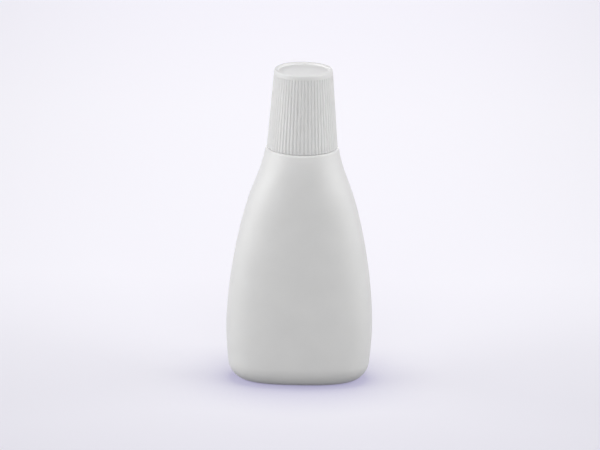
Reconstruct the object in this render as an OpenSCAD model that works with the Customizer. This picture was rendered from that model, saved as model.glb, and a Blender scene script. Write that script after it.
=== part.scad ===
// Sunscreen bottle: a flat oval squeeze bottle with a nozzle plug and a tall ribbed screw cap.
// Millimetres. The origin is the middle of the base, +Z runs up the bottle, X is its width
// and Y its depth. The front faces -Y.

/* [Bottle body] */
// Width at the widest place
body_w = 63; // [54:0.5:76]
// Depth from front to back, just above the heel
body_d = 34; // [30:0.5:41]
// Height of the ledge that the neck rises from
shoulder_z = 104.4; // [86:0.2:126]
// Height of the widest place
widest_z = 24; // [20:0.5:30]
// How far the shoulder's edge stands out past the cap's lower edge
shoulder_proud = 0.6; // [0.4:0.1:2]
// Rounding of the shoulder's edge
shoulder_round = 0.9; // [0.4:0.1:1.2]
// Height of the rolled heel
heel_h = 9.5; // [6:0.5:11]
// How far the heel rolls in under the narrow sides
heel_in = 9.5; // [5:0.5:10]
// How far the heel rolls in under the front and the back
heel_in_front = 7; // [4:0.5:9]
// Squareness of the cross section near the base, where 2 is an ellipse
squareness = 2.5; // [2.1:0.1:3]
// Wall of the blown body
wall = 1.1; // [0.8:0.1:1.4]
// Thickness of the ledge under the cap
ledge_t = 1.6; // [1.2:0.1:2.4]
// Rise of the hollow in the base
push_up = 1.8; // [0.8:0.1:2.6]
// Width of the flat ring that the bottle stands on
stand_w = 2.4; // [1.6:0.1:4]

/* [Neck] */
// Outside diameter of the neck, without its thread
neck_d = 19.6; // [16:0.1:24]
// Bore of the neck
neck_bore = 15.5; // [12:0.1:17]
// Height of the neck above the ledge
neck_h = 14.4; // [12:0.1:18]
// Height of the thread that stands on the neck
thread_h = 1; // [0.8:0.1:1.2]
// Fillet where the neck leaves the ledge
neck_fillet = 0.8; // [0.4:0.1:1]

/* [Nozzle plug] */
// Thickness of the flange that sits on the neck
flange_t = 1.2; // [0.8:0.1:1.6]
// How deep the plug's skirt reaches into the neck
plug_depth = 7.5; // [5:0.5:10]
// Wall of the plug
plug_wall = 1; // [0.8:0.1:1.2]
// Diameter of the nozzle where it leaves the flange
nozzle_root_d = 9.4; // [8:0.1:10]
// Diameter of the nozzle's tip
nozzle_tip_d = 5.4; // [4.6:0.1:6]
// Diameter of the orifice
orifice_d = 2.6; // [1.5:0.1:3]

/* [Cap] */
// Height of the cap
cap_h = 34.1; // [28:0.1:42]
// Taper of the cap's side, in degrees
cap_taper = 4.5; // [2:0.1:6]
// Wall of the cap's shell behind the ribs
cap_wall = 1.2; // [0.9:0.1:1.6]
// Number of ribs round the cap
ribs = 60; // [40:2:72]
// Height of a rib
rib_h = 0.4; // [0.2:0.05:0.5]
// Plain band above the ribs, with the rim
band_h = 2; // [1.4:0.1:5]
// Thickness of the cap's top
cap_top_t = 1.3; // [1:0.1:2]
// Width of the raised rim round the top
rim_w = 1.8; // [1.4:0.1:2.4]
// Depth of the dished top inside the rim
recess = 1; // [0.5:0.1:1.6]
// Height of the lip at the cap's mouth that holds the insert
lip_h = 0.3; // [0.2:0.1:0.6]

/* [Cap insert and seal] */
// Wall of the threaded insert
insert_wall = 1; // [0.8:0.1:1.4]
// Thickness of the insert's flange at the mouth of the cap
insert_flange_t = 1.2; // [1:0.1:1.6]
// Number of fins that centre the insert in the shell
fins = 8; // [4:1:12]
// Thickness of a fin
fin_t = 1; // [0.8:0.1:1.4]
// Thickness of the foam seal
wad_t = 1.5; // [1:0.1:2]

/* [Clearances] */
// Gap between the cap's lower edge and the ledge
cap_gap = 0.4; // [0.3:0.05:0.8]
// Radial gap between the neck's thread and the insert's wall
thread_gap = 0.3; // [0.25:0.05:0.4]
// Gap between the insert and the plug's flange
land_gap = 0.3; // [0.2:0.05:0.5]
// Gap round the nozzle inside the insert
nozzle_gap = 1.9; // [1.6:0.1:2.4]
// Gap round the foam seal
wad_gap = 0.2; // [0.1:0.05:0.3]
// Gap between pieces that are pushed into each other
push_gap = 0.05; // [0.02:0.01:0.1]
// Least gap between the insert's skirt and the shell
skirt_gap = 0.2; // [0.15:0.05:0.5]

/* [Smoothness] */
// Points round the outside of the body
body_points = 96; // [64:8:112]
// Points round the inside of the body
hollow_points = 48; // [32:8:64]

/* [Hidden] */
$fn = 96;

// Overlap that keeps cuts and unions clean
eps = 0.5;

// Heights, from the ledge up
neck_top = shoulder_z + neck_h;
flange_top = neck_top + flange_t;
cap_z = shoulder_z + cap_gap;
cap_top = cap_z + cap_h;
deck_under = cap_top - recess - cap_top_t;
insert_top = deck_under;
ceiling_z = insert_top - insert_wall;
tip_z = ceiling_z - wad_t;
land_z = flange_top + land_gap;
insert_z = cap_z + lip_h;

// Radii of the neck and of what goes over it
neck_r = neck_d / 2;
bore_r = neck_bore / 2;
thread_r = neck_r + thread_h;
insert_r = thread_r + thread_gap;
skirt_r = insert_r + insert_wall;
chamber_r = nozzle_root_d / 2 + nozzle_gap;
chamber_out_r = chamber_r + insert_wall;
wad_r = chamber_r - wad_gap;

// The shell is wide enough at its mouth to clear the skirt's top edge, where the taper is narrowest
taper = tan(cap_taper);
skirt_top = land_z + insert_wall;
shell_in_r = skirt_r + skirt_gap + (skirt_top - cap_z) * taper;
cap_r = shell_in_r + cap_wall + rib_h;
cap_top_r = cap_r - cap_h * taper;
shoulder_r = cap_r + shoulder_proud;

// Radius of the shell's inside at a height
function shell_inside(z) = shell_in_r - (z - cap_z) * taper;

// Radius of the shell over its ribs at a height
function shell_outside(z) = cap_r - (z - cap_z) * taper;

// Point of a cubic Bezier curve
function bezier(p, t) =
    pow(1 - t, 3) * p[0] + 3 * t * pow(1 - t, 2) * p[1]
    + 3 * t * t * (1 - t) * p[2] + pow(t, 3) * p[3];

// Points along a cubic Bezier curve in even steps, without its first point
function curve(p, steps) = [for (i = [1 : steps]) bezier(p, i / steps)];

// Quarter arc from angle a to angle b, as [radius, height]
function arc(centre, r, a, b, steps) =
    [for (i = [0 : steps]) centre + r * [cos(a + (b - a) * i / steps), sin(a + (b - a) * i / steps)]];

// Outline of the body's broad side as [half width, height], from the heel up to the ledge:
// the tuck above the heel, the long flank, and the flare of the shoulder.
// The flank leans out from the flare at flare_slope, and both curves keep that slope there.
half_w = body_w / 2;
half_d = body_d / 2;
edge_z = shoulder_z - shoulder_round;
rise = edge_z - widest_z;
spread = half_w - shoulder_r;
flare_z = edge_z - 0.21 * rise;
flare_x = shoulder_r + 0.33 * spread;
flare_slope = 0.39;
tuck_in = 0.9;
tuck_in_front = 0.4;
heel_x = half_w - tuck_in;
heel_y = half_d - tuck_in_front;
tuck = [
    [heel_x, heel_h],
    [half_w - tuck_in / 2, heel_h + 0.3 * (widest_z - heel_h)],
    [half_w, widest_z - 0.4 * (widest_z - heel_h)],
    [half_w, widest_z]
];
flank = [
    [half_w, widest_z],
    [half_w, widest_z + 0.29 * rise],
    [flare_x + flare_slope * 0.15 * rise, flare_z - 0.15 * rise],
    [flare_x, flare_z]
];
flare = [
    [flare_x, flare_z],
    [flare_x - flare_slope * 0.095 * rise, flare_z + 0.095 * rise],
    [shoulder_r + 1, edge_z - 0.07 * rise],
    [shoulder_r, edge_z]
];

// Points of the broad side's outline, with more of them on the flank
function side(steps) = concat(
    [tuck[0]],
    curve(tuck, max(1, round(steps / 4))),
    curve(flank, steps),
    curve(flare, max(3, round(steps * 2 / 3)))
);

// How far up the side a height is, from 0 at the heel to 1 at the shoulder
function climb(z) = min(1, max(0, (z - heel_h) / (edge_z - heel_h)));

// How far the tuck in the depth reaches above the heel, and how late the front leans in to the
// shoulder, where a higher power is later
tuck_reach = 25;
flare_power = 14;

// Half depth of the body at a height: a slight tuck above the heel, a straight front, and a lean
// in to the round shoulder near its edge
function half_depth(z) =
    half_d - tuck_in_front * pow(max(0, 1 - (z - heel_h) / tuck_reach), 2)
    - (half_d - shoulder_r) * pow(climb(z), flare_power);

// Squareness of the cross section at a height, falling to a circle at the shoulder
function square_at(z) = squareness - (squareness - 2) * pow(climb(z), 1.3);

// One ring of a cross section, in the plane at height z
function ring(a, b, n, z, points) = [for (i = [0 : points - 1])
    let (t = 360 * i / points, c = cos(t), s = sin(t))
    [a * sign(c) * pow(abs(c), 2 / n), b * sign(s) * pow(abs(s), 2 / n), z]];

// Rings from the middle of the base out to the standing ring, or over it on the inside.
// inset is 0 on the outside of the wall and the wall's thickness on the inside.
function base_rings(inset, points, shares) =
    let (
        a = heel_x - heel_in,
        b = heel_y - heel_in_front,
        edge = inset > 0 ? 0 : stand_w
    )
    [for (u = shares)
        ring((a - edge) * u, (b - edge) * u, squareness, inset + push_up * (1 - pow(u, 4)), points)];

// Rings of the heel, a quarter ellipse rolled up from the base
function heel_rings(inset, points, steps) = [for (i = [0 : steps])
    let (
        p = 90 * i / steps,
        a = heel_x - heel_in + (heel_in - inset) * sin(p),
        b = heel_y - heel_in_front + (heel_in_front - inset) * sin(p),
        z = heel_h - (heel_h - inset) * cos(p)
    )
    ring(a, b, squareness, z, points)];

// Rings of the side, from above the heel to the shoulder's edge
function side_rings(inset, points, steps, top) = [for (p = side(steps))
    if (p[1] > heel_h + 0.01 && p[1] < top)
        ring(p[0] - inset, half_depth(p[1]) - inset, square_at(p[1]), p[1], points)];

// Rings of the round edge that closes the shoulder, of radius r and with its top at a height
function edge_rings(r, top, points, steps) =
    [for (p = arc([r - shoulder_round, top - shoulder_round], shoulder_round, 0, 90, steps))
        ring(p[0], p[0], 2, p[1], points)];

// Solid through a stack of rings with the same number of points, flat at both ends
module skin(rings) {
    m = len(rings[0]);
    last = len(rings) - 1;
    points = [for (r = rings) for (p = r) p];
    sides = [for (k = [0 : last - 1]) for (i = [0 : m - 1])
        let (j = (i + 1) % m, low = k * m, high = (k + 1) * m)
        each [[low + i, high + i, high + j], [low + i, high + j, low + j]]];
    bottom = [for (i = [0 : m - 1]) i];
    top = [for (i = [m - 1 : -1 : 0]) last * m + i];
    polyhedron(points, concat([bottom], sides, [top]), convexity = 6);
}

// Outside of the blown body, with the hollow in its base
module body_outside() {
    skin(concat(
        base_rings(0, body_points, [0.3, 0.62, 0.86, 1]),
        heel_rings(0, body_points, 6),
        side_rings(0, body_points, 10, edge_z - 0.01),
        edge_rings(shoulder_r, shoulder_z, body_points, 3)
    ));
}

// Inside of the blown body, one wall in from the outside
module body_hollow() {
    hollow_top = shoulder_z - ledge_t;
    skin(concat(
        base_rings(wall, hollow_points, [0.4, 0.75]),
        heel_rings(wall, hollow_points, 4),
        side_rings(wall, hollow_points, 7, hollow_top - shoulder_round - eps),
        edge_rings(shoulder_r - wall, hollow_top, hollow_points, 2)
    ));
}

// Outside of the neck, with its root fillet and a softened lip
module neck_outside() {
    lip = 0.3;
    root = arc([neck_r + neck_fillet, shoulder_z + neck_fillet], neck_fillet, 270, 180, 4);
    rotate_extrude()
        polygon(concat(
            [[0, shoulder_z - eps], [neck_r + neck_fillet, shoulder_z - eps]],
            root,
            [[neck_r, neck_top - lip], [neck_r - lip, neck_top], [0, neck_top]]
        ));
}

// Blow-moulded bottle
module bottle() {
    color("whitesmoke")
        difference() {
            union() {
                body_outside();
                neck_outside();
            }
            union() {
                body_hollow();
                translate([0, 0, shoulder_z - ledge_t - eps])
                    cylinder(r = bore_r, h = neck_h + ledge_t + 2 * eps);
            }
        }
}

// Plug that is pushed into the neck and carries the nozzle
module nozzle_plug() {
    plug_r = bore_r - push_gap;
    plug_in_r = plug_r - plug_wall;
    lead = 0.5;
    flange_r = neck_r - 0.3;
    soft = 0.3;
    root_r = nozzle_root_d / 2;
    tip_r = nozzle_tip_d / 2;
    hole_r = orifice_d / 2;
    fillet = 0.8;
    tip_edge = 0.4;
    throat = 3;
    color("ivory")
        rotate_extrude()
            polygon(concat(
                [
                    [plug_in_r, neck_top - plug_depth],
                    [plug_r - lead, neck_top - plug_depth],
                    [plug_r, neck_top - plug_depth + 2 * lead],
                    [plug_r, neck_top],
                    [flange_r, neck_top],
                    [flange_r, flange_top - soft],
                    [flange_r - soft, flange_top]
                ],
                arc([root_r + fillet, flange_top + fillet], fillet, 270, 180, 4),
                [
                    [tip_r, tip_z - tip_edge],
                    [tip_r - tip_edge, tip_z],
                    [hole_r, tip_z],
                    [hole_r, tip_z - throat],
                    [root_r - plug_wall, neck_top],
                    [plug_in_r, neck_top]
                ]
            ));
}

// Outside of the cap before its grooves are cut, with a rolled outer edge on the rim
module shell_outline() {
    rim_round = 0.7;
    rotate_extrude()
        polygon(concat(
            [[0, cap_z], [cap_r, cap_z]],
            arc([shell_outside(cap_top - rim_round) - rim_round, cap_top - rim_round],
                rim_round, 0, 90, 4),
            [[0, cap_top]]
        ));
}

// Cutter for the groove between two ribs, whose floor runs out to the surface below the band
module groove() {
    pitch = 360 / ribs * PI / 180 * cap_r;
    floor_w = 0.26 * pitch;
    mouth_w = 0.56 * pitch;
    reach = 0.2;
    flank = (mouth_w - floor_w) / 2 * reach / rib_h;
    rib_top = cap_top - band_h;
    run_out = 0.7;
    floor_end = [shell_outside(rib_top - run_out) - rib_h, rib_top - run_out];
    intersection() {
        translate([cap_r, 0, cap_z])
            rotate([0, -cap_taper, 0])
                translate([0, 0, -eps])
                    linear_extrude(cap_h)
                        polygon([
                            [-rib_h - eps, -floor_w / 2],
                            [-rib_h, -floor_w / 2],
                            [reach, -mouth_w / 2 - flank],
                            [reach, mouth_w / 2 + flank],
                            [-rib_h, floor_w / 2],
                            [-rib_h - eps, floor_w / 2]
                        ]);
        rotate([90, 0, 0])
            translate([0, 0, -pitch])
                linear_extrude(2 * pitch)
                    polygon([
                        [shell_outside(cap_z - eps) - rib_h, cap_z - eps],
                        floor_end,
                        floor_end + 2 * [rib_h - run_out * taper, run_out],
                        [cap_r + eps, cap_top],
                        [cap_r + eps, cap_z - eps]
                    ]);
    }
}

// Inside of the cap, narrowed at the mouth by the lip that holds the insert
module shell_hollow() {
    lip = 0.25;
    corner = 0.6;
    rotate_extrude()
        polygon(concat(
            [
                [0, cap_z - eps],
                [shell_in_r - lip, cap_z - eps],
                [shell_in_r - lip, cap_z + lip_h / 2],
                [shell_inside(insert_z), insert_z]
            ],
            arc([shell_inside(deck_under) - corner, deck_under - corner], corner, 0, 90, 3),
            [[0, deck_under]]
        ));
}

// Dish inside the rim, with the rim's rolled inner edge
module shell_recess() {
    r = cap_top_r - rim_w;
    roll = 0.5;
    rotate_extrude()
        polygon(concat(
            [[0, cap_top - recess], [r, cap_top - recess]],
            arc([r + roll, cap_top - roll], roll, 180, 90, 3),
            [[r + roll, cap_top + eps], [0, cap_top + eps]]
        ));
}

// Ribbed outer shell of the cap
module cap_shell() {
    color("gainsboro")
        difference() {
            shell_outline();
            shell_hollow();
            shell_recess();
            for (i = [0 : ribs - 1])
                rotate([0, 0, 360 * (i + 0.5) / ribs])
                    groove();
        }
}

// Fin from the insert's chamber out to the shell, with its top corner cut to clear the shell's
module fin() {
    corner = 1;
    foot = skirt_r - skirt_gap;
    out = shell_inside(insert_top) - skirt_gap;
    rotate([90, 0, 0])
        translate([0, 0, -fin_t / 2])
            linear_extrude(fin_t)
                polygon([
                    [chamber_out_r - eps, skirt_top - eps],
                    [foot, skirt_top - eps],
                    [foot, skirt_top],
                    [out, insert_top - corner],
                    [out - corner, insert_top],
                    [chamber_out_r - eps, insert_top]
                ]);
}

// Insert with the cap's thread, pushed into the shell, and the chamber round the nozzle
module cap_insert() {
    hold = 0.35;
    lead = 0.4;
    bead_z = tip_z - hold;
    flange_top_z = insert_z + insert_flange_t;
    color("white")
        union() {
            rotate_extrude()
                polygon([
                    [insert_r + lead, insert_z],
                    [shell_inside(insert_z) - push_gap, insert_z],
                    [shell_inside(flange_top_z) - push_gap, flange_top_z],
                    [skirt_r, flange_top_z],
                    [skirt_r, skirt_top],
                    [chamber_out_r, skirt_top],
                    [chamber_out_r, insert_top],
                    [0, insert_top],
                    [0, ceiling_z],
                    [chamber_r, ceiling_z],
                    [chamber_r, tip_z],
                    [chamber_r - hold, bead_z],
                    [chamber_r, bead_z - hold],
                    [chamber_r, land_z],
                    [insert_r, land_z],
                    [insert_r, insert_z + lead]
                ]);
            for (i = [0 : fins - 1])
                rotate([0, 0, 360 * i / fins])
                    fin();
        }
}

// Foam disc that the nozzle's tip seals against
module seal_wad() {
    color("lightgray")
        translate([0, 0, tip_z])
            cylinder(r = wad_r, h = wad_t);
}

bottle();
nozzle_plug();
cap_shell();
cap_insert();
seal_wad();
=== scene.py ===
"""Looks of a flat oval sunscreen bottle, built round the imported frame.

Metres, in the frame's own axes: +Z runs up the bottle, X is its width, Y its depth, and the
front faces -Y. The bottle stands on Z = 0.
"""

import logging
import math
from collections.abc import Callable
from dataclasses import dataclass
from enum import Enum

import bmesh
import bpy
from mathutils import Matrix, Vector


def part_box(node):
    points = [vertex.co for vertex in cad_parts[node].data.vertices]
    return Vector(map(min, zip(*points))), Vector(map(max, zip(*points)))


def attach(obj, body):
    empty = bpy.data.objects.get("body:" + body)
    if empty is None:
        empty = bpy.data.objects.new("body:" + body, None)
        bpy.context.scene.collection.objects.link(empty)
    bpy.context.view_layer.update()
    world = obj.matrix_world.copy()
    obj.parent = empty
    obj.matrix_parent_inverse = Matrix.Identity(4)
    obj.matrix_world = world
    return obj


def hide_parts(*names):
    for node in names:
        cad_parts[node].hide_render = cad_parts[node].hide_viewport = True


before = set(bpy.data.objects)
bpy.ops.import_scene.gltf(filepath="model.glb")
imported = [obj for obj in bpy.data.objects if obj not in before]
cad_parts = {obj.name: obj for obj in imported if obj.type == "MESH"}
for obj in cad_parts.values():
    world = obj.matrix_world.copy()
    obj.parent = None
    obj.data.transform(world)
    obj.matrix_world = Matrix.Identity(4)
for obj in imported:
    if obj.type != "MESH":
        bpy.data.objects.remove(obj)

MM = 0.001
FULL_TURN = 2 * math.pi
UP = Vector((0, 0, 1))
SHARP_ANGLE = math.radians(40)
MERGE_REACH = 0.001 * MM
NOISE_LOW, NOISE_HIGH = 0.3, 0.7
THREAD_DROP = 6.6 * MM
log = logging.getLogger("sunscreen_bottle")

Pair = tuple[float, float]
Colour = tuple[float, float, float]
Socket = bpy.types.NodeSocket
Mesh = bmesh.types.BMesh
Parts = list[bmesh.types.BMVert | bmesh.types.BMEdge | bmesh.types.BMFace]


class Body(Enum):
    """Moving bodies of the frame that a piece can ride on."""

    FLASK = "flask"
    SEAL = "seal"
    CAP = "cap"


class Slot(Enum):
    """Material slots of the record that a piece can take its finish from."""

    BOTTLE = "bottle_hdpe"
    PLUG = "plug_ldpe"
    CAP = "cap_pp"
    INSERT = "insert_pp"
    WAD = "wad_foam"


class Face(Enum):
    """Which way a thread stands off the wall that carries it."""

    OUTWARD = 1
    INWARD = -1


# Curves


def bezier(points: list[Pair], t: float) -> Vector:
    """Point of a cubic Bezier curve.

    Args:
        points: The curve's four control points.
        t: How far along the curve, from 0 to 1.

    Returns:
        The point, with two coordinates.
    """
    a, b, c, d = (Vector(p) for p in points)
    s = 1 - t
    return a * s**3 + b * (3 * s * s * t) + c * (3 * s * t * t) + d * t**3


def curve(points: list[Pair], steps: int) -> list[Vector]:
    """Points along a cubic Bezier curve in even steps, without its first point."""
    return [bezier(points, i / steps) for i in range(1, steps + 1)]


def arc(centre: Pair, radius: float, start: float, end: float, steps: int) -> list[Vector]:
    """Points of an arc in the plane of radius and height.

    Args:
        centre: Middle of the arc.
        radius: Its radius.
        start: Angle of the first point, in degrees.
        end: Angle of the last point, in degrees.
        steps: Number of steps between them.

    Returns:
        The points, both ends among them.
    """
    turns = [math.radians(start + (end - start) * i / steps) for i in range(steps + 1)]
    return [Vector(centre) + radius * Vector((math.cos(a), math.sin(a))) for a in turns]


def ease(share: float) -> float:
    """Smooth step from 0 to 1 that starts and ends level."""
    t = min(1.0, max(0.0, share))
    return t * t * (3 - 2 * t)


# Mesh tools


class Loft:
    """A closed skin drawn ring by ring: the last ring is extruded and moved into place."""

    def __init__(self, points: int) -> None:
        """Starts the skin with its first ring, still unplaced.

        Args:
            points: Number of points in every ring.
        """
        self.mesh = bmesh.new()
        self.turn = self.mesh.verts.layers.int.new("turn")
        made = bmesh.ops.create_circle(self.mesh, segments=points, radius=1.0, cap_ends=False)
        self.verts: list[bmesh.types.BMVert] = made["verts"]
        for vert in self.verts:
            share = math.atan2(vert.co.y, vert.co.x) / FULL_TURN
            vert[self.turn] = round(share * points) % points
        self.edges: list[bmesh.types.BMEdge] = list(self.mesh.edges)
        self.drawn = False

    def ring(self, place: Callable[[int], Vector]) -> None:
        """Draws the next ring.

        Args:
            place: Gives the place of each point from its number round the ring.
        """
        if self.drawn:
            grown = bmesh.ops.extrude_edge_only(self.mesh, edges=self.edges)["geom"]
            self.verts = [g for g in grown if isinstance(g, bmesh.types.BMVert)]
            fresh = set(self.verts)
            self.edges = [
                g
                for g in grown
                if isinstance(g, bmesh.types.BMEdge) and fresh.issuperset(g.verts)
            ]
        for vert in self.verts:
            vert.co = place(vert[self.turn])
        self.drawn = True

    def close(self, where: Vector) -> None:
        """Closes the last ring with a fan of triangles that meet at a point."""
        lid = bmesh.ops.edgeloop_fill(self.mesh, edges=self.edges)["faces"]
        bmesh.ops.poke(self.mesh, faces=lid)["verts"][0].co = where

    def finished(self) -> Mesh:
        """Returns the mesh with its faces pointing out."""
        bmesh.ops.recalc_face_normals(self.mesh, faces=self.mesh.faces)
        return self.mesh


def round_off(mesh: Mesh, geom: Parts, reach: float, steps: int, affect: str) -> None:
    """Rounds corners or edges of a mesh.

    Args:
        mesh: The mesh.
        geom: The corners or edges.
        reach: How far the rounding reaches from each of them.
        steps: Number of steps in the rounding.
        affect: VERTICES or EDGES.
    """
    bmesh.ops.bevel(
        mesh,
        geom=geom,
        offset=reach,
        offset_type="OFFSET",
        segments=steps,
        profile=0.5,
        affect=affect,
        clamp_overlap=True,
        material=-1,
    )


def spin(mesh: Mesh, geom: Parts, angle: float, steps: int, copies: bool) -> None:
    """Spins parts of a mesh round the bottle's axis.

    Args:
        mesh: The mesh.
        geom: Its parts.
        angle: How far, in radians.
        steps: Number of steps.
        copies: True sets a copy at each step, and False draws a skin that meets itself.
    """
    bmesh.ops.spin(
        mesh,
        geom=geom,
        cent=(0, 0, 0),
        axis=UP,
        dvec=(0, 0, 0),
        angle=angle,
        steps=steps,
        use_merge=not copies,
        use_normal_flip=False,
        use_duplicate=copies,
    )


@dataclass(frozen=True)
class Corner:
    """Corner of a turned profile: its radius and height, and how far its rounding reaches."""

    r: float
    z: float
    soft: float = 0.0


def turned(profile: list[Corner], steps: int = 144) -> Mesh:
    """Spins a profile round the bottle's axis.

    Args:
        profile: Corners in order. A profile that starts and ends on the axis is left open
            there, and any other is closed.
        steps: Number of steps round.

    Returns:
        A closed mesh with its faces pointing out.
    """
    mesh = bmesh.new()
    verts = [mesh.verts.new((c.r, 0, c.z)) for c in profile]
    for a, b in zip(verts, verts[1:]):
        mesh.edges.new((a, b))
    if profile[0].r > 0 or profile[-1].r > 0:
        mesh.edges.new((verts[-1], verts[0]))
    for vert, corner in zip(verts, profile):
        if corner.soft > 0:
            round_off(mesh, [vert], corner.soft, 5, "VERTICES")
    spin(mesh, mesh.verts[:] + mesh.edges[:], FULL_TURN, steps, copies=False)
    bmesh.ops.remove_doubles(mesh, verts=mesh.verts, dist=MERGE_REACH)
    bmesh.ops.recalc_face_normals(mesh, faces=mesh.faces)
    return mesh


def soften(mesh: Mesh, width: float) -> None:
    """Rounds the sharp edges of a mesh, as far as a width from each of them."""
    sharp = [e for e in mesh.edges if e.calc_face_angle(0) > SHARP_ANGLE]
    round_off(mesh, sharp, width, 3, "EDGES")


def placed(name: str, data: bpy.types.ID) -> bpy.types.Object:
    """Makes an object of a mesh, lamp or camera, and puts it in the scene.

    Args:
        name: Name of the object.
        data: What it shows.

    Returns:
        The object, at the origin.
    """
    thing = bpy.data.objects.new(name, data)
    bpy.context.scene.collection.objects.link(thing)
    return thing


def add_piece(
    name: str,
    mesh: Mesh,
    material: bpy.types.Material,
    body: Body,
    slot: Slot,
    stands_for: str = "",
) -> None:
    """Makes an object of a finished mesh and hangs it on the frame.

    Args:
        name: Name of the piece.
        mesh: Its mesh, which is freed.
        material: Its finish.
        body: The body that it rides on.
        slot: The record's slot that it takes its finish from; not used.
        stands_for: The CAD node that it takes the place of, if any.
    """
    data = bpy.data.meshes.new(name)
    mesh.to_mesh(data)
    mesh.free()
    data.polygons.foreach_set("use_smooth", [True] * len(data.polygons))
    data.set_sharp_from_angle(angle=SHARP_ANGLE)
    data.materials.append(material)
    piece = placed(name, data)
    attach(piece, body.value)
    if stands_for:
        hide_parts(stands_for)
    log.info("%s: %d faces on %s", name, len(data.polygons), body.value)


# Finishes


def linear(colour: Colour) -> tuple[float, float, float, float]:
    """Turns a colour as a screen shows it into a shader's colour."""
    r, g, b = (c / 12.92 if c <= 0.04045 else ((c + 0.055) / 1.055) ** 2.4 for c in colour)
    return (r, g, b, 1.0)


class NodeDesk:
    """Builds the node tree of one material or world."""

    def __init__(self, owner: bpy.types.Material | bpy.types.World) -> None:
        """Empties the owner's node tree, to build it anew.

        Args:
            owner: The material or world.
        """
        owner.use_nodes = True
        self.tree = owner.node_tree
        self.tree.nodes.clear()

    def add(
        self, kind: str, inputs: dict[str | int, object] | None = None, **settings: object
    ) -> bpy.types.Node:
        """Adds a node.

        Args:
            kind: The node's type, without its ShaderNode prefix.
            inputs: Values or sockets for its inputs, by name or number.
            settings: Values of the node's own settings.

        Returns:
            The node.
        """
        node = self.tree.nodes.new("ShaderNode" + kind)
        for key, value in settings.items():
            setattr(node, key, value)
        for key, value in (inputs or {}).items():
            if isinstance(value, bpy.types.NodeSocket):
                self.tree.links.new(value, node.inputs[key])
            else:
                node.inputs[key].default_value = value
        return node

    def noise(self, place: Socket, size: float, detail: float = 2.0) -> Socket:
        """Adds noise with features of a size in metres, and returns its value."""
        node = self.add("TexNoise", {"Vector": place, "Scale": 1 / size, "Detail": detail})
        return node.outputs["Fac"]

    def maths(self, operation: str, *values: Socket | float) -> Socket:
        """Adds a sum of one kind, and returns its result."""
        return self.add("Math", dict(enumerate(values)), operation=operation).outputs[0]

    def weighted(self, *terms: tuple[Socket, float]) -> Socket:
        """Adds up sockets, each times its weight.

        Args:
            terms: Each socket with its weight.

        Returns:
            The socket with the total.
        """
        total: Socket | float = 0.0
        for socket, weight in terms:
            total = self.maths("MULTIPLY_ADD", socket, weight, total)
        return total

    def spread(self, value: Socket, low: float, high: float) -> Socket:
        """Spreads the middle range of a noise over low to high."""
        span = {"From Min": NOISE_LOW, "From Max": NOISE_HIGH, "To Min": low, "To Max": high}
        return self.add("MapRange", {"Value": value, **span}).outputs["Result"]

    def tint(self, share: Socket, *colours: Colour) -> Socket:
        """Mixes colours that are spaced evenly from 0 to 1.

        Args:
            share: How far along the row of colours to go.
            colours: The colours in order.

        Returns:
            The socket with the mixed colour.
        """
        ramp = self.add("ValToRGB", {"Fac": share})
        stops = ramp.color_ramp.elements
        for i in range(1, len(colours) - 1):
            stops.new(i / (len(colours) - 1))
        for stop, colour in zip(stops, colours):
            stop.color = linear(colour)
        return ramp.outputs["Color"]

    def background_rays(self) -> Socket:
        """Picks the rays that see the background: the camera's, and those off gloss or glass.

        Returns:
            The socket that is 1 for such a ray and 0 for any other.
        """
        path = self.add("LightPath")
        rays = ("Is Camera Ray", "Is Glossy Ray", "Is Transmission Ray")
        camera, glossy, passed = (path.outputs[name] for name in rays)
        return self.maths("MAXIMUM", self.maths("MAXIMUM", camera, glossy), passed)

    def stretched(self, place: Socket, scale: tuple[float, float, float]) -> Socket:
        """Scales coordinates, each axis by its own factor."""
        return self.add("Mapping", {"Vector": place, "Scale": scale}).outputs["Vector"]


@dataclass(frozen=True)
class PlasticFinish:
    """Plastic with an even colour, faint clouds in it, and a fine satin skin."""

    name: str
    colour: Colour
    clouds: Colour
    roughness: float
    cloud_size: float = 14 * MM
    patch_size: float = 5 * MM
    roughness_spread: float = 0.05
    grain_size: float = 0.7 * MM
    grain_depth: float = 0.01 * MM
    grain_share: float = 0.7
    swell_grains: float = 9
    swell_share: float = 1.2
    refraction: float = 1.5
    gleam: float = 0.5
    glow: float = 0.06
    glow_depth: float = 1.2 * MM
    glow_tone: Colour = (1.0, 0.9, 0.8)

    def relief(self, desk: NodeDesk, place: Socket) -> Socket:
        """Height of the skin, in shares of the grain's depth.

        Args:
            desk: The material's node tree.
            place: The piece's own coordinates.

        Returns:
            The socket with the height.
        """
        grain = desk.noise(place, self.grain_size, 3)
        swell = desk.noise(place, self.swell_grains * self.grain_size, 1)
        return desk.weighted((grain, self.grain_share), (swell, self.swell_share))

    def material(self) -> bpy.types.Material:
        """Builds the finish.

        Returns:
            The material.
        """
        material = bpy.data.materials.new(self.name)
        desk = NodeDesk(material)
        place = desk.add("TexCoord").outputs["Object"]
        clouds = desk.spread(desk.noise(place, self.cloud_size, 4), 0.0, 1.0)
        patches = desk.noise(place, self.patch_size, 3)
        low, high = self.roughness - self.roughness_spread, self.roughness + self.roughness_spread
        height = self.relief(desk, place)
        bump = desk.add("Bump", {"Height": height, "Strength": 1.0, "Distance": self.grain_depth})
        shader = desk.add(
            "BsdfPrincipled",
            {
                "Base Color": desk.tint(clouds, self.colour, self.clouds),
                "Roughness": desk.spread(patches, low, high),
                "IOR": self.refraction,
                "Specular IOR Level": self.gleam,
                "Subsurface Weight": self.glow,
                "Subsurface Radius": self.glow_tone,
                "Subsurface Scale": self.glow_depth,
                "Normal": bump.outputs["Normal"],
            },
        )
        desk.add("OutputMaterial", {"Surface": shader.outputs["BSDF"]})
        return material


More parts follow.
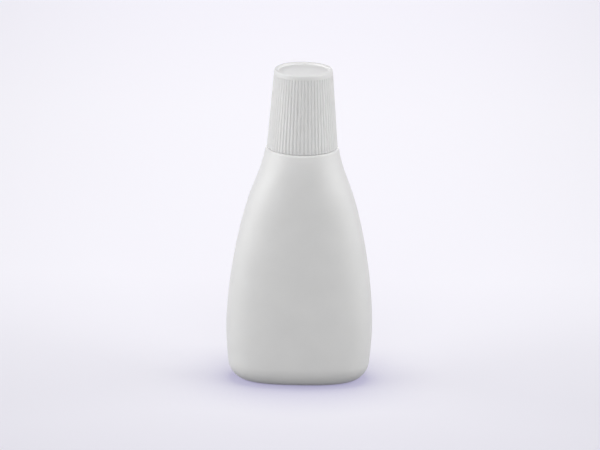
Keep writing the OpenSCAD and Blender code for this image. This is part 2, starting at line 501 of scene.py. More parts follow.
@dataclass(frozen=True)
class BlownFinish(PlasticFinish):
    """Blown plastic, which also shows the faint lines that its tube was drawn with."""

    draw_line: float = 1.3 * MM
    draw_squeeze: float = 0.015
    draw_share: float = 0.5

    def relief(self, desk: NodeDesk, place: Socket) -> Socket:
        """Height of the skin with its draw lines, in shares of the grain's depth.

        Args:
            desk: The material's node tree.
            place: The piece's own coordinates.

        Returns:
            The socket with the height.
        """
        drawn = desk.stretched(place, (1, 1, self.draw_squeeze))
        lines = desk.noise(drawn, self.draw_line, 2)
        return desk.weighted((super().relief(desk, place), 1.0), (lines, self.draw_share))


@dataclass(frozen=True)
class FoamFinish(PlasticFinish):
    """Closed-cell foam sheet, with its cut cells on the surface."""

    cell: float = 0.35 * MM
    skin_share: float = 0.5
    cell_share: float = -1.5

    def relief(self, desk: NodeDesk, place: Socket) -> Socket:
        """Height of the foam's skin over its cells, in shares of the grain's depth.

        Args:
            desk: The material's node tree.
            place: The piece's own coordinates.

        Returns:
            The socket with the height.
        """
        cells = desk.add("TexVoronoi", {"Vector": place, "Scale": 1 / self.cell})
        skin, edges = super().relief(desk, place), cells.outputs["Distance"]
        return desk.weighted((skin, self.skin_share), (edges, self.cell_share))


# The pieces


@dataclass(frozen=True)
class Levels:
    """Heights and radii that several pieces share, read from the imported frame."""

    half_w: float
    half_d: float
    neck_top: float
    cap_z: float
    cap_top: float
    cap_r: float
    insert_z: float
    insert_top: float
    plug_z: float
    tip_z: float
    flange_r: float
    wad_r: float
    ceiling_z: float

    @classmethod
    def of_frame(cls) -> "Levels":
        """Reads the levels from the boxes of the CAD nodes.

        Returns:
            The levels, in metres.
        """
        bottle_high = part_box("bottle")[1]
        shell_low, shell_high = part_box("cap_shell")
        insert_low, insert_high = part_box("cap_insert")
        plug_low, plug_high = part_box("nozzle_plug")
        wad_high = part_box("seal_wad")[1]
        return cls(
            half_w=bottle_high.x,
            half_d=bottle_high.y,
            neck_top=bottle_high.z,
            cap_z=shell_low.z,
            cap_top=shell_high.z,
            cap_r=shell_high.x,
            insert_z=insert_low.z,
            insert_top=insert_high.z,
            plug_z=plug_low.z,
            tip_z=plug_high.z,
            flange_r=plug_high.x,
            wad_r=wad_high.x,
            ceiling_z=wad_high.z,
        )


@dataclass
class Thread:
    """One screw thread on a wall, with both ends run out into it."""

    root_r: float
    start_z: float
    first_turn: float
    last_turn: float
    face: Face
    pitch: float = 3.175 * MM
    height: float = 0.95 * MM
    root_w: float = 1.3 * MM
    crest_w: float = 0.5 * MM
    sink: float = 0.25 * MM
    run_out: float = 0.12
    end_height: float = 0.05
    end_width: float = 0.4
    fullness: float = 0.6
    steps_a_turn: int = 96
    section_points: int = 16

    def section(self, point: int) -> Pair:
        """Place on the thread's rounded section.

        Args:
            point: Number of the point round the section.

        Returns:
            How far the point stands off the wall, and how far along the wall it is.
        """
        angle = FULL_TURN * point / self.section_points
        along, off = math.cos(angle), math.sin(angle)
        half = (self.root_w * (1 - max(0.0, off)) + self.crest_w * max(0.0, off)) / 2
        rounded = math.copysign(abs(along) ** self.fullness, along)
        stands_off = self.height * abs(off) ** self.fullness if off > 0 else self.sink * off
        return (stands_off, half * rounded)

    def mesh(self) -> Mesh:
        """Draws the section along its helix.

        Returns:
            The closed mesh.
        """
        loft = Loft(self.section_points)
        steps = round((self.last_turn - self.first_turn) * self.steps_a_turn)
        for i in range(steps + 1):
            turn = self.first_turn + (self.last_turn - self.first_turn) * i / steps
            near_end = min(turn - self.first_turn, self.last_turn - turn)
            full = self.end_height + (1 - self.end_height) * ease(near_end / self.run_out)
            width = self.end_width + (1 - self.end_width) * full
            middle = self.start_z + self.pitch * turn
            rotation = Matrix.Rotation(FULL_TURN * turn, 3, "Z")

            def place(point: int) -> Vector:
                """Place of one point of the section at this turn.

                Args:
                    point: Number of the point round the section.

                Returns:
                    The place.
                """
                off, along = self.section(point)
                off = off * full if off > 0 else off
                radius = self.root_r + self.face.value * off
                return rotation @ Vector((radius, 0, middle + along * width))

            loft.ring(place)
            if i == 0:
                loft.close(rotation @ Vector((self.root_r, 0, middle)))
        loft.close(rotation @ Vector((self.root_r, 0, middle)))
        return loft.finished()


@dataclass
class BlownFlask:
    """The blown bottle: a flat oval body lofted into a round shoulder, with its threaded neck."""

    levels: Levels
    widest_z: float = 24 * MM
    shoulder_proud: float = 0.6 * MM
    shoulder_round: float = 0.9 * MM
    cap_gap: float = 0.4 * MM
    heel_h: float = 9.5 * MM
    heel_in: float = 9.5 * MM
    heel_in_front: float = 7 * MM
    tuck_in: float = 0.9 * MM
    tuck_in_front: float = 0.4 * MM
    tuck_reach: float = 25 * MM
    flare_h: float = 0.21
    flare_out: float = 0.33
    flare_slope: float = 0.39
    flare_power: int = 14
    tuck_pulls: Pair = (0.3, 0.4)
    flank_pulls: Pair = (0.29, 0.15)
    flare_pulls: Pair = (0.095, 0.07)
    edge_out: float = 1 * MM
    squareness: float = 2.5
    square_power: float = 1.3
    wall: float = 1.1 * MM
    ledge_t: float = 1.6 * MM
    push_up: float = 1.8 * MM
    dome_power: int = 4
    stand_w: float = 2.4 * MM
    neck_r: float = 9.8 * MM
    bore_r: float = 7.75 * MM
    neck_fillet: float = 0.8 * MM
    lip_soft: float = 0.3 * MM
    seam_w: float = 0.34 * MM
    seam_h: float = 0.06 * MM
    seam_room: float = 0.7
    seam_points: int = 5
    arc_points: int = 95
    heel_steps: int = 16
    scar_l: float = 34 * MM
    scar_w: float = 0.7 * MM
    scar_h: float = 0.3 * MM
    scar_taper: float = 0.6
    scar_root: float = 0.4 * MM

    def __post_init__(self) -> None:
        """Works out the heights and the outline's turning points."""
        self.ledge_z = self.levels.cap_z - self.cap_gap
        self.edge_z = self.ledge_z - self.shoulder_round
        self.shoulder_r = self.levels.cap_r + self.shoulder_proud
        self.heel_x = self.levels.half_w - self.tuck_in
        self.heel_y = self.levels.half_d - self.tuck_in_front
        self.rise = self.edge_z - self.widest_z
        self.flare_z = self.edge_z - self.flare_h * self.rise
        self.flare_x = self.shoulder_r + self.flare_out * (self.levels.half_w - self.shoulder_r)
        self.points = 2 * (self.arc_points + self.seam_points)

    def side(self, steps: int) -> list[Vector]:
        """Outline of the broad side as half widths and heights: tuck, flank and flare.

        Args:
            steps: Number of steps on the flank.

        Returns:
            The points, from above the heel to the shoulder's edge.
        """
        half_w, low = self.levels.half_w, self.widest_z - self.heel_h
        up, down = (pull * low for pull in self.tuck_pulls)
        tuck = [
            (self.heel_x, self.heel_h),
            (half_w - self.tuck_in / 2, self.heel_h + up),
            (half_w, self.widest_z - down),
            (half_w, self.widest_z),
        ]
        up, down = (pull * self.rise for pull in self.flank_pulls)
        flank = [
            (half_w, self.widest_z),
            (half_w, self.widest_z + up),
            (self.flare_x + self.flare_slope * down, self.flare_z - down),
            (self.flare_x, self.flare_z),
        ]
        up, down = (pull * self.rise for pull in self.flare_pulls)
        flare = [
            (self.flare_x, self.flare_z),
            (self.flare_x - self.flare_slope * up, self.flare_z + up),
            (self.shoulder_r + self.edge_out, self.edge_z - down),
            (self.shoulder_r, self.edge_z),
        ]
        return curve(tuck, steps // 4) + curve(flank, steps) + curve(flare, steps * 2 // 3)

    def climb(self, z: float) -> float:
        """How far up the side a height is, from 0 at the heel to 1 at the shoulder."""
        return min(1.0, max(0.0, (z - self.heel_h) / (self.edge_z - self.heel_h)))

    def half_depth(self, z: float) -> float:
        """Half depth of the body at a height, leaning in to the shoulder near its edge.

        Args:
            z: The height.

        Returns:
            The distance from the middle to the front.
        """
        tuck = self.tuck_in_front * max(0.0, 1 - (z - self.heel_h) / self.tuck_reach) ** 2
        lean = (self.levels.half_d - self.shoulder_r) * self.climb(z) ** self.flare_power
        return self.levels.half_d - tuck - lean

    def square_at(self, z: float) -> float:
        """Squareness of the cross section at a height, 2 where it is round."""
        return self.squareness - (self.squareness - 2) * self.climb(z) ** self.square_power

    def dome(self, share: float) -> float:
        """Height of the base's dome over its edge, at a share of the way out to it."""
        return self.push_up * (1 - share**self.dome_power)

    def section(
        self, a: float, b: float, square: float, z: float, seam: float = 0.0
    ) -> Callable[[int], Vector]:
        """Cross section of the body at one height, as a ring for the loft.

        The ring's points sit close together beside the mould's parting line, which stands up
        on the two narrow sides.

        Args:
            a: Half width.
            b: Half depth.
            square: Squareness, where 2 is an ellipse.
            z: Height.
            seam: Height of the parting line off the wall.

        Returns:
            The place of each point from its number round the ring.
        """
        power = 2 / square
        first = math.radians(180 / (self.arc_points + 1))
        reach = min(self.seam_w, self.seam_room * b * math.sin(first) ** power)
        half, crest = self.points // 2, self.seam_points // 2

        def place(point: int) -> Vector:
            """Place of one point of the ring, on the parting line or between its two sides.

            Args:
                point: Number of the point round the ring.

            Returns:
                The place.
            """
            number, side = (point + crest) % self.points, 1
            if number >= half:
                number, side = number - half, -1
            if number < self.seam_points:
                share = (number - crest) / crest
                y = share * reach
                x = a * (1 - abs(y / b) ** square) ** (1 / square)
                return Vector((side * (x + seam * (1 - ease(abs(share)))), side * y, z))
            angle = first * (number - self.seam_points + 1)
            c, s = math.cos(angle), math.sin(angle)
            x = math.copysign(abs(c) ** power, c) * a
            return Vector((side * x, side * b * s**power, z))

        return place

    def skin(self) -> Mesh:
        """Draws the skin from the middle of the base up the outside and back down the inside.

        Returns:
            The closed mesh.
        """
        loft = Loft(self.points)
        self.draw_base(loft)
        self.draw_heel(loft, 0.0, range(self.heel_steps + 1))
        for x, z in self.side(44):
            loft.ring(self.section(x, self.half_depth(z), self.square_at(z), z, self.seam_h))
        r = self.shoulder_r
        for x, z in arc((r - self.shoulder_round, self.edge_z), self.shoulder_round, 15, 90, 5):
            loft.ring(self.section(x, x, 2, z))
        for x, z in self.neck_outline():
            loft.ring(self.section(x, x, 2, z))
        self.draw_hollow(loft)
        return loft.finished()

    def draw_base(self, loft: Loft) -> None:
        """Draws the dome under the base, from its middle out to the ring it stands on.

        Args:
            loft: The skin.
        """
        a = self.heel_x - self.heel_in - self.stand_w
        b = self.heel_y - self.heel_in_front - self.stand_w
        for share in (0.12, 0.26, 0.4, 0.54, 0.68, 0.8, 0.9, 0.97, 1.0):
            middle = not loft.drawn
            loft.ring(self.section(a * share, b * share, self.squareness, self.dome(share)))
            if middle:
                loft.close(Vector((0, 0, self.push_up)))

    def draw_heel(self, loft: Loft, inset: float, order: range) -> None:
        """Draws the heel, a quarter ellipse between the base and the side.

        Args:
            loft: The skin.
            inset: 0 on the outside, and the wall's thickness on the inside.
            order: Numbers of the rings, in the quarter's steps.
        """
        for i in order:
            angle = math.radians(90 * i / self.heel_steps)
            a = self.heel_x - self.heel_in + (self.heel_in - inset) * math.sin(angle)
            b = self.heel_y - self.heel_in_front + (self.heel_in_front - inset) * math.sin(angle)
            z = self.heel_h - (self.heel_h - inset) * math.cos(angle)
            seam = 0.0 if inset else self.seam_h * math.sin(angle)
            loft.ring(self.section(a, b, self.squareness, z, seam))

    def neck_outline(self) -> list[Vector]:
        """Outline of the ledge, the neck and the bore, down to the ledge's underside.

        Returns:
            The points as radii and heights. The straight parts have a point or two between
            their ends, which keeps the faces beside each rounding short.
        """
        r, top, soft = self.neck_r, self.levels.neck_top, self.lip_soft
        ledge, under = self.ledge_z, self.ledge_z - self.ledge_t
        fillet = self.neck_fillet
        between, beside = 4 * MM, 0.3 * MM
        return [
            Vector((r + 3 * MM, ledge)),
            Vector((r + fillet + beside, ledge)),
            *arc((r + fillet, ledge + fillet), fillet, 270, 180, 6),
            Vector((r, ledge + between)),
            Vector((r, top - between)),
            *arc((r - soft, top - soft), soft, 0, 90, 4),
            *arc((self.bore_r + soft, top - soft), soft, 90, 180, 4),
            Vector((self.bore_r, top - between)),
            *arc((self.bore_r + soft, under + soft), soft, 180, 270, 4),
            Vector((self.bore_r + 2 * MM, under)),
        ]

    def draw_hollow(self, loft: Loft) -> None:
        """Draws the inside of the body, one wall in from the outside, down to its floor.

        Args:
            loft: The skin.
        """
        soft, r = self.shoulder_round, self.shoulder_r - self.wall
        under = self.ledge_z - self.ledge_t - soft
        for x, z in arc((r - soft, under), soft, 90, 0, 4):
            loft.ring(self.section(x, x, 2, z))
        for x, z in reversed([p for p in self.side(24) if p.y < under - 0.5 * MM]):
            a, b = x - self.wall, self.half_depth(z) - self.wall
            loft.ring(self.section(a, b, self.square_at(z), z))
        self.draw_heel(loft, self.wall, range(self.heel_steps, -1, -2))
        a, b = self.heel_x - self.heel_in, self.heel_y - self.heel_in_front
        for share in (0.8, 0.6, 0.4, 0.2):
            z = self.wall + self.dome(share)
            loft.ring(self.section(a * share, b * share, self.squareness, z))
        loft.close(Vector((0, 0, self.wall + self.push_up)))

    def pinch_off(self) -> Mesh:
        """Draws the scar across the base where the mould pinched the tube shut.

        Returns:
            The closed mesh.
        """
        half_l, half_w = self.scar_l / 2, self.scar_w / 2
        reach = self.heel_x - self.heel_in - self.stand_w
        mesh = bmesh.new()
        bmesh.ops.create_cube(mesh, size=2.0)
        along = [e for e in mesh.edges if abs(e.verts[0].co.x - e.verts[1].co.x) > 1]
        bmesh.ops.subdivide_edges(mesh, edges=along, cuts=31, use_grid_fill=True)
        for vert in mesh.verts:
            x, y, z = vert.co
            narrow = 1 - self.scar_taper * abs(x) ** 6
            stands_out = self.scar_h * narrow if z < 0 else -self.scar_root
            height = self.dome(abs(x * half_l / reach)) - stands_out
            vert.co = (x * half_l, y * half_w * narrow, height)
        soften(mesh, 0.1 * MM)
        bmesh.ops.recalc_face_normals(mesh, faces=mesh.faces)
        return mesh

    def build(self, finish: bpy.types.Material) -> None:
        """Adds the bottle, its thread and the scar on its base.

        Args:
            finish: The blown plastic.
        """
        add_piece("blown_flask", self.skin(), finish, Body.FLASK, Slot.BOTTLE, "bottle")
        thread = Thread(
            root_r=self.neck_r,
            start_z=self.levels.neck_top - THREAD_DROP,
            first_turn=0.0,
            last_turn=1.5,
            face=Face.OUTWARD,
        )
        add_piece("neck_thread", thread.mesh(), finish, Body.FLASK, Slot.BOTTLE)
        add_piece("base_pinch_off", self.pinch_off(), finish, Body.FLASK, Slot.BOTTLE)


@dataclass
class OrificePlug:
    """The soft plug in the neck, with its flange and its tapered nozzle."""

    levels: Levels
    plug_r: float = 7.7 * MM
    plug_wall: float = 1 * MM
    flange_t: float = 1.2 * MM
    root_r: float = 4.7 * MM
    tip_r: float = 2.7 * MM
    hole_r: float = 1.3 * MM
    throat: float = 3 * MM
    lead_in: Pair = (0.5 * MM, 1 * MM)

    def mesh(self) -> Mesh:
        """Turns the plug's profile.

        Returns:
            The closed mesh.
        """
        seat, low, tip = self.levels.neck_top, self.levels.plug_z, self.levels.tip_z
        top = seat + self.flange_t
        inner = self.plug_r - self.plug_wall
        lead_w, lead_h = self.lead_in
        return turned(
            [
                Corner(inner, low, 0.2 * MM),
                Corner(self.plug_r - lead_w, low, 0.25 * MM),
                Corner(self.plug_r, low + lead_h, 0.3 * MM),
                Corner(self.plug_r, seat),
                Corner(self.levels.flange_r, seat, 0.1 * MM),
                Corner(self.levels.flange_r, top, 0.35 * MM),
                Corner(self.root_r, top, 0.8 * MM),
                Corner(self.tip_r, tip, 0.45 * MM),
                Corner(self.hole_r, tip, 0.25 * MM),
                Corner(self.hole_r, tip - self.throat, 0.5 * MM),
                Corner(self.root_r - self.plug_wall, seat, 0.5 * MM),
                Corner(inner, seat, 0.4 * MM),
            ]
        )

    def build(self, finish: bpy.types.Material) -> None:
        """Adds the plug."""
        add_piece("orifice_plug", self.mesh(), finish, Body.FLASK, Slot.PLUG, "nozzle_plug")


@dataclass
class RibbedShell:
    """The cap's outer shell: a tapered ribbed side, a plain band and a dished top."""

    levels: Levels
    taper: float = math.tan(math.radians(4.5))
    wall: float = 1.2 * MM
    ribs: int = 60
    rib_points: int = 12
    rib_h: float = 0.4 * MM
    crest: float = 0.2
    flank: float = 0.19
    band_h: float = 2 * MM
    rib_run_out: float = 0.7 * MM
    run_out_steps: int = 6
    top_t: float = 1.3 * MM
    deck_fillet: float = 0.6 * MM
    rim_w: float = 1.8 * MM
    rim_round: float = 0.7 * MM
    rim_roll: float = 0.5 * MM
    recess: float = 1 * MM
    dish_fillet: float = 0.4 * MM
    lip_h: float = 0.3 * MM
    lip_in: float = 0.25 * MM
    skirt_drop: float = 0.22 * MM
    edge_round: float = 0.1 * MM
    pole_r: float = 0.6 * MM

    def outside(self, z: float) -> float:
        """Radius over the ribs at a height."""
        return self.levels.cap_r - (z - self.levels.cap_z) * self.taper

    def inside(self, z: float) -> float:
        """Radius of the inside at a height."""
        return self.outside(z) - self.wall - self.rib_h

    def groove(self, point: int) -> float:
        """How deep the groove is at a point round the shell, as a share of a rib's height."""
        share = (point % self.rib_points) / self.rib_points
        return ease((0.5 - abs(share - 0.5) - self.crest) / self.flank)

    def stations(self) -> list[tuple[float, float, float]]:
        """Rings from the middle of the inside round the mouth to the middle of the top.

        Returns:
            The radius, the height and the share of the groove's depth of each ring.
        """
        low, top = self.levels.cap_z, self.levels.cap_top
        foot, soft = low - self.skirt_drop, self.edge_round
        deck, dish = top - self.recess - self.top_t, top - self.recess
        corner, roll, fillet = self.deck_fillet, self.rim_roll, self.dish_fillet
        mouth_r, lip_top = self.inside(low) - self.lip_in, low + self.lip_h
        rim_z, dish_r = top - self.rim_round, self.outside(top) - self.rim_w
        rib_top = top - self.band_h
        ribs_full = rib_top - self.rib_run_out
        plain = [(self.pole_r, deck), (5 * MM, deck)]
        plain += arc((self.inside(deck) - corner, deck - corner), corner, 90, 0, 4)
        plain += [(self.inside(z), z) for z in (low + 24 * MM, low + 16 * MM, low + 8 * MM)]
        plain += [(self.inside(lip_top), lip_top)]
        plain += [(mouth_r, low + self.lip_h / 2), (mouth_r + soft, foot)]
        rings = [(r, z, 0.0) for r, z in plain]
        hem = arc((self.outside(foot) - soft, foot + soft), soft, 270, 360, 3)
        rings += [(r, z, 1.0) for r, z in hem]
        heights = [low + share * (ribs_full - low) for share in (0.1, 0.3, 0.5, 0.7, 0.9)]
        rings += [(self.outside(z), z, 1.0) for z in heights]
        for i in range(self.run_out_steps + 1):
            share = i / self.run_out_steps
            z = rib_top - self.rib_run_out * (1 - share)
            rings.append((self.outside(z), z, 1 - ease(share)))
        plain = arc((self.outside(rim_z) - self.rim_round, rim_z), self.rim_round, 0, 90, 7)
        plain += arc((dish_r + roll, top - roll), roll, 90, 180, 6)
        plain += arc((dish_r - fillet, dish + fillet), fillet, 0, -90, 5)
        plain += [(6 * MM, dish), (self.pole_r, dish)]
        return rings + [(r, z, 0.0) for r, z in plain]

    def mesh(self) -> Mesh:
        """Draws the shell through its rings.

        Returns:
            The closed mesh.
        """
        loft = Loft(self.ribs * self.rib_points)
        rings = self.stations()
        for number, (radius, z, depth) in enumerate(rings):

            def place(point: int) -> Vector:
                """Place of one point of the ring, on a rib or in a groove.

                Args:
                    point: Number of the point round the ring.

                Returns:
                    The place.
                """
                angle = FULL_TURN * point / (self.ribs * self.rib_points)
                r = radius - depth * self.rib_h * self.groove(point)
                return Vector((r * math.cos(angle), r * math.sin(angle), z))

            loft.ring(place)
            if number == 0:
                loft.close(Vector((0, 0, z)))
        loft.close(Vector((0, 0, rings[-1][1])))
        return loft.finished()

    def build(self, finish: bpy.types.Material) -> None:
        """Adds the shell."""
        add_piece("ribbed_shell", self.mesh(), finish, Body.CAP, Slot.CAP, "cap_shell")


@dataclass
class InnerClosure:
    """The plain closure inside the shell, with its thread, its chamber and its fins."""

    levels: Levels
    shell: RibbedShell
    wall: float = 1 * MM
    bore_r: float = 11.1 * MM
    chamber_r: float = 6.6 * MM
    land_gap: float = 1.5 * MM
    flange_t: float = 1.2 * MM
    push_gap: float = 0.05 * MM
    fins: int = 8
    fin_t: float = 1 * MM
    fin_gap: float = 0.2 * MM
    hold: float = 0.35 * MM
    thread_gap: float = 1.4 * MM

    def mesh(self) -> Mesh:
        """Turns the closure's profile and sets its fins round it.

        Returns:
            The mesh, with the closure and each fin closed in itself.
        """
        low, top = self.levels.insert_z, self.levels.insert_top
        land = self.levels.neck_top + self.land_gap
        flange_top, skirt_top = low + self.flange_t, land + self.wall
        skirt_r, out_r = self.bore_r + self.wall, self.chamber_r + self.wall
        tip, inside = self.levels.tip_z, self.shell.inside
        mesh = turned(
            [
                Corner(self.bore_r, low, 0.4 * MM),
                Corner(inside(low) - self.push_gap, low, 0.12 * MM),
                Corner(inside(flange_top) - self.push_gap, flange_top, 0.2 * MM),
                Corner(skirt_r, flange_top, 0.3 * MM),
                Corner(skirt_r, skirt_top, 0.3 * MM),
                Corner(out_r, skirt_top, 0.4 * MM),
                Corner(out_r, top, 0.2 * MM),
                Corner(0, top),
                Corner(0, self.levels.ceiling_z),
                Corner(self.chamber_r, self.levels.ceiling_z, 0.1 * MM),
                Corner(self.chamber_r, tip, 0.05 * MM),
                Corner(self.chamber_r - self.hold, tip - self.hold, 0.12 * MM),
                Corner(self.chamber_r, tip - 2 * self.hold, 0.1 * MM),
                Corner(self.chamber_r, land, 0.35 * MM),
                Corner(self.bore_r, land, 0.3 * MM),
            ]
        )
        self.add_fins(mesh, skirt_r - self.fin_gap, out_r, skirt_top, top)
        return mesh

    def add_fins(self, mesh: Mesh, foot: float, root: float, low: float, top: float) -> None:
        """Sets the fins that centre the closure in the shell round its chamber.

        Args:
            mesh: The closure's mesh.
            foot: Radius of a fin's foot.
            root: Radius of the chamber's outside.
            low: Height of the fins' feet.
            top: Height of their tops.
        """
        out = self.shell.inside(top) - self.fin_gap
        corner, deep = 1 * MM, 0.5 * MM
        outline = [
            (root - deep, low - deep),
            (foot, low - deep),
            (foot, low),
            (out, top - corner),
            (out - corner, top),
            (root - deep, top),
        ]
        fin = bmesh.new()
        face = fin.faces.new([fin.verts.new((x, -self.fin_t / 2, z)) for x, z in outline])
        grown = bmesh.ops.extrude_face_region(fin, geom=[face])["geom"]
        lifted = [g for g in grown if isinstance(g, bmesh.types.BMVert)]
        bmesh.ops.translate(fin, verts=lifted, vec=(0, self.fin_t, 0))
        soften(fin, 0.12 * MM)
        whole, others = fin.verts[:] + fin.edges[:] + fin.faces[:], self.fins - 1
        spin(fin, whole, FULL_TURN * others / self.fins, others, copies=True)
        bmesh.ops.recalc_face_normals(fin, faces=fin.faces)
        set_of_fins = bpy.data.meshes.new("fins")
        fin.to_mesh(set_of_fins)
        fin.free()
        mesh.from_mesh(set_of_fins)
        bpy.data.meshes.remove(set_of_fins)

    def build(self, finish: bpy.types.Material) -> None:
        """Adds the closure and its thread, which sits just under the neck's.

        Args:
            finish: The moulded plastic.
        """
        add_piece("inner_closure", self.mesh(), finish, Body.CAP, Slot.INSERT, "cap_insert")
        thread = Thread(
            root_r=self.bore_r,
            start_z=self.levels.neck_top - THREAD_DROP - self.thread_gap,
            first_turn=-1.0,
            last_turn=0.8,
            face=Face.INWARD,
        )
        add_piece("closure_thread", thread.mesh(), finish, Body.CAP, Slot.INSERT)


@dataclass
class FoamWad:
    """The foam disc that the nozzle seals against."""

    levels: Levels

    def build(self, finish: bpy.types.Material) -> None:
        """Adds the disc.

        Args:
            finish: The foam.
        """
        r, low, high = self.levels.wad_r, self.levels.tip_z, self.levels.ceiling_z
        disc = [
            Corner(0, low),
            Corner(r - 0.4 * MM, low, 0.1 * MM),
            Corner(r, low + 0.35 * MM, 0.3 * MM),
            Corner(r, high - 0.2 * MM, 0.1 * MM),
            Corner(r - 0.2 * MM, high, 0.1 * MM),
            Corner(0, high),
        ]
        add_piece("foam_wad", turned(disc, 96), finish, Body.SEAL, Slot.WAD, "seal_wad")


# The studio


@dataclass(frozen=True)
class SoftBox:
    """One soft lamp: where it stands, how large it is and how strong."""

    name: str
    place: tuple[float, float, float]
    size: Pair
    power: float
    aim: tuple[float, float, float] = (0.0, 0.0, 0.07)

    def build(self) -> None:
        """Adds the lamp, unseen by the camera itself."""
        data = bpy.data.lights.new(self.name, "AREA")
        data.shape = "RECTANGLE"
        data.size, data.size_y = self.size
        data.energy = self.power
        lamp = placed(self.name, data)
        lamp.location = self.place
        way = Vector(self.place) - Vector(self.aim)
        lamp.rotation_euler = way.to_track_quat("Z", "Y").to_euler()
        lamp.visible_camera = False


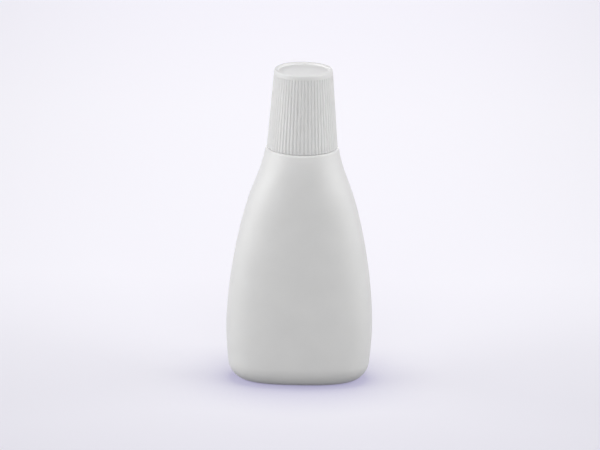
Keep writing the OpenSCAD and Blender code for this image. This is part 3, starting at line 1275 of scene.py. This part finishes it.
@dataclass
class Studio:
    """Pale floor, soft lamps and the camera."""

    floor_half: float = 4.0
    paper: Colour = (0.55, 0.55, 0.55)
    # Camera tones of the backdrop from near to far. With the lamp light on the paper they paint a
    # falloff of light, the floor dimmest nearest the camera.
    backdrop: tuple[Colour, ...] = (
        (0.752, 0.744, 0.788),
        (0.864, 0.857, 0.891),
        (0.878, 0.871, 0.903),
        (0.873, 0.864, 0.905),
    )
    near: float = -0.15
    far: float = 0.75
    # Painted falloff of light: the backdrop's glow dims with the square of the distance to either
    # side, down to least_strength.
    painted_side_falloff: float = 3.4
    least_strength: float = 0.91
    # Painted contact shadow: a darker lavender tone that the backdrop's glow gives way to where
    # ambient occlusion finds the floor closed in by the object.
    painted_contact_shadow: Colour = (0.60, 0.585, 0.704)
    painted_shadow_reach: float = 0.05
    painted_shadow_closed: float = 0.5
    painted_shadow_open: float = 0.93
    painted_shadow_samples: int = 16
    floor_bounce: Colour = (0.55, 0.55, 0.55)
    ambient: float = 0.06
    ambient_colour: Colour = (1.0, 1.0, 1.0)
    sky: Colour = (0.96, 0.95, 0.98)
    distance: float = 2.5
    elevation: float = 16.25
    roll: float = 0.967
    lens: float = 348.0
    sensor: float = 36.0
    sight: Pair = (0.1, 30.0)
    target_z: float = 0.069
    aside: float = -0.39 * MM
    above: float = 0.21 * MM

    def add_floor(self) -> None:
        """Adds the floor: paper that keeps the object's shadow, and a pale backdrop with painted
        light falloff and a painted contact shadow.
        """
        mesh = bmesh.new()
        bmesh.ops.create_grid(mesh, x_segments=1, y_segments=1, size=self.floor_half)
        data = bpy.data.meshes.new("studio_floor")
        mesh.to_mesh(data)
        mesh.free()
        material = bpy.data.materials.new("studio_floor")
        desk = NodeDesk(material)
        place = desk.add("SeparateXYZ", {0: desk.add("TexCoord").outputs["Object"]})
        across, along = place.outputs["X"], place.outputs["Y"]
        # Painted falloff of light: the backdrop's glow follows the tones from near to far and dims
        # towards the sides.
        depth = desk.add("MapRange", {"Value": along, "From Min": self.near, "From Max": self.far})
        painted_falloff = desk.maths("MULTIPLY", desk.maths("MULTIPLY", across, across), -self.painted_side_falloff)
        strength = desk.maths("MAXIMUM", desk.maths("ADD", painted_falloff, 1.0), self.least_strength)
        tone = desk.tint(depth.outputs["Result"], *self.backdrop)
        far = desk.add("Emission", {"Color": tone, "Strength": strength})
        # Painted contact shadow: ambient occlusion mixes the backdrop's glow down to a darker tone
        # close round the object.
        close = desk.add("Emission", {"Color": linear(self.painted_contact_shadow)})
        reach, samples = self.painted_shadow_reach, self.painted_shadow_samples
        openness = desk.add("AmbientOcclusion", {"Distance": reach}, samples=samples)
        span = {"From Min": self.painted_shadow_closed, "From Max": self.painted_shadow_open}
        room = desk.add("MapRange", {"Value": openness.outputs["AO"], **span})
        tones = {0: room.outputs["Result"], 1: close.outputs[0], 2: far.outputs[0]}
        paper = desk.add("BsdfDiffuse", {"Color": linear(self.paper)})
        shade = desk.add("MixShader", tones)
        seen = desk.add("AddShader", {0: paper.outputs[0], 1: shade.outputs[0]})
        grey = desk.add("BsdfDiffuse", {"Color": linear(self.floor_bounce)})
        rays = desk.background_rays()
        pick = desk.add("MixShader", {0: rays, 1: grey.outputs[0], 2: seen.outputs[0]})
        desk.add("OutputMaterial", {"Surface": pick.outputs[0]})
        data.materials.append(material)
        placed("studio_floor", data)

    def add_world(self) -> None:
        """Fills the room with soft light, and shows the camera a pale sky."""
        world = bpy.data.worlds.new("studio_room")
        bpy.context.scene.world = world
        desk = NodeDesk(world)
        room = desk.add(
            "Background", {"Color": linear(self.ambient_colour), "Strength": self.ambient}
        )
        seen = desk.add("Background", {"Color": linear(self.sky), "Strength": 1.0})
        rays = desk.background_rays()
        pick = desk.add("MixShader", {0: rays, 1: room.outputs[0], 2: seen.outputs[0]})
        desk.add("OutputWorld", {"Surface": pick.outputs[0]})

    def add_lamps(self) -> None:
        """Adds the soft lamps: one on the left, two on the right, one in front and one behind."""
        for box in (
            SoftBox("left_softbox", (-1.5, -0.12, 0.68), (1.5, 1.15), 23.5),
            SoftBox("right_softbox", (1.5, -0.12, 0.68), (1.5, 1.15), 16.0),
            SoftBox("right_high_softbox", (1.3, 0.0, 1.4), (1.2, 1.2), 6.3),
            SoftBox("front_softbox", (0.0, -2.0, 1.05), (1.6, 1.2), 24.5),
            SoftBox("back_softbox", (0.0, 2.4, 0.35), (2.6, 0.6), 12.0),
        ):
            box.build()

    def add_camera(self) -> None:
        """Adds the camera at the photograph's angle."""
        data = bpy.data.cameras.new("camera")
        data.lens = self.lens
        data.sensor_width = self.sensor
        data.clip_start, data.clip_end = self.sight
        camera = placed("camera", data)
        angle = math.radians(self.elevation)
        back = Vector((0, -math.cos(angle), math.sin(angle)))
        turn = back.to_track_quat("Z", "Y").to_matrix() @ Matrix.Rotation(
            math.radians(self.roll), 3, "Z"
        )
        target = Vector((0, 0, self.target_z)) + turn @ Vector((self.aside, self.above, 0))
        camera.matrix_world = Matrix.Translation(target + back * self.distance) @ turn.to_4x4()
        bpy.context.scene.camera = camera

    def build(self) -> None:
        """Sets up the whole studio."""
        self.add_floor()
        self.add_world()
        self.add_lamps()
        self.add_camera()
        bpy.context.scene.view_settings.view_transform = "Standard"
        log.info("studio set up")


def main() -> None:
    """Builds the bottle's pieces and the studio."""
    logging.basicConfig(level=logging.INFO, format="%(message)s")
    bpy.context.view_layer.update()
    levels = Levels.of_frame()
    flask_finish = BlownFinish(
        name="blown_polyethylene",
        colour=(0.868, 0.868, 0.866),
        clouds=(0.853, 0.853, 0.851),
        roughness=0.42,
    ).material()
    cap_finish = PlasticFinish(
        name="moulded_polypropylene",
        colour=(0.884, 0.884, 0.883),
        clouds=(0.872, 0.872, 0.871),
        roughness=0.4,
        grain_size=0.45 * MM,
        grain_depth=0.006 * MM,
        gleam=0.25,
    ).material()
    plug_finish = PlasticFinish(
        name="waxy_polyethylene",
        colour=(0.9, 0.905, 0.9),
        clouds=(0.87, 0.88, 0.875),
        roughness=0.45,
        glow=0.25,
        glow_depth=2.5 * MM,
    ).material()
    insert_finish = PlasticFinish(
        name="plain_polypropylene",
        colour=(0.9, 0.9, 0.9),
        clouds=(0.885, 0.885, 0.885),
        roughness=0.4,
        grain_size=0.5 * MM,
    ).material()
    foam_finish = FoamFinish(
        name="closed_cell_foam",
        colour=(0.89, 0.89, 0.88),
        clouds=(0.85, 0.85, 0.84),
        roughness=0.75,
        grain_depth=0.05 * MM,
    ).material()
    shell = RibbedShell(levels)
    BlownFlask(levels).build(flask_finish)
    OrificePlug(levels).build(plug_finish)
    shell.build(cap_finish)
    InnerClosure(levels, shell).build(insert_finish)
    FoamWad(levels).build(foam_finish)
    Studio().build()


if __name__ == "__main__":
    main()
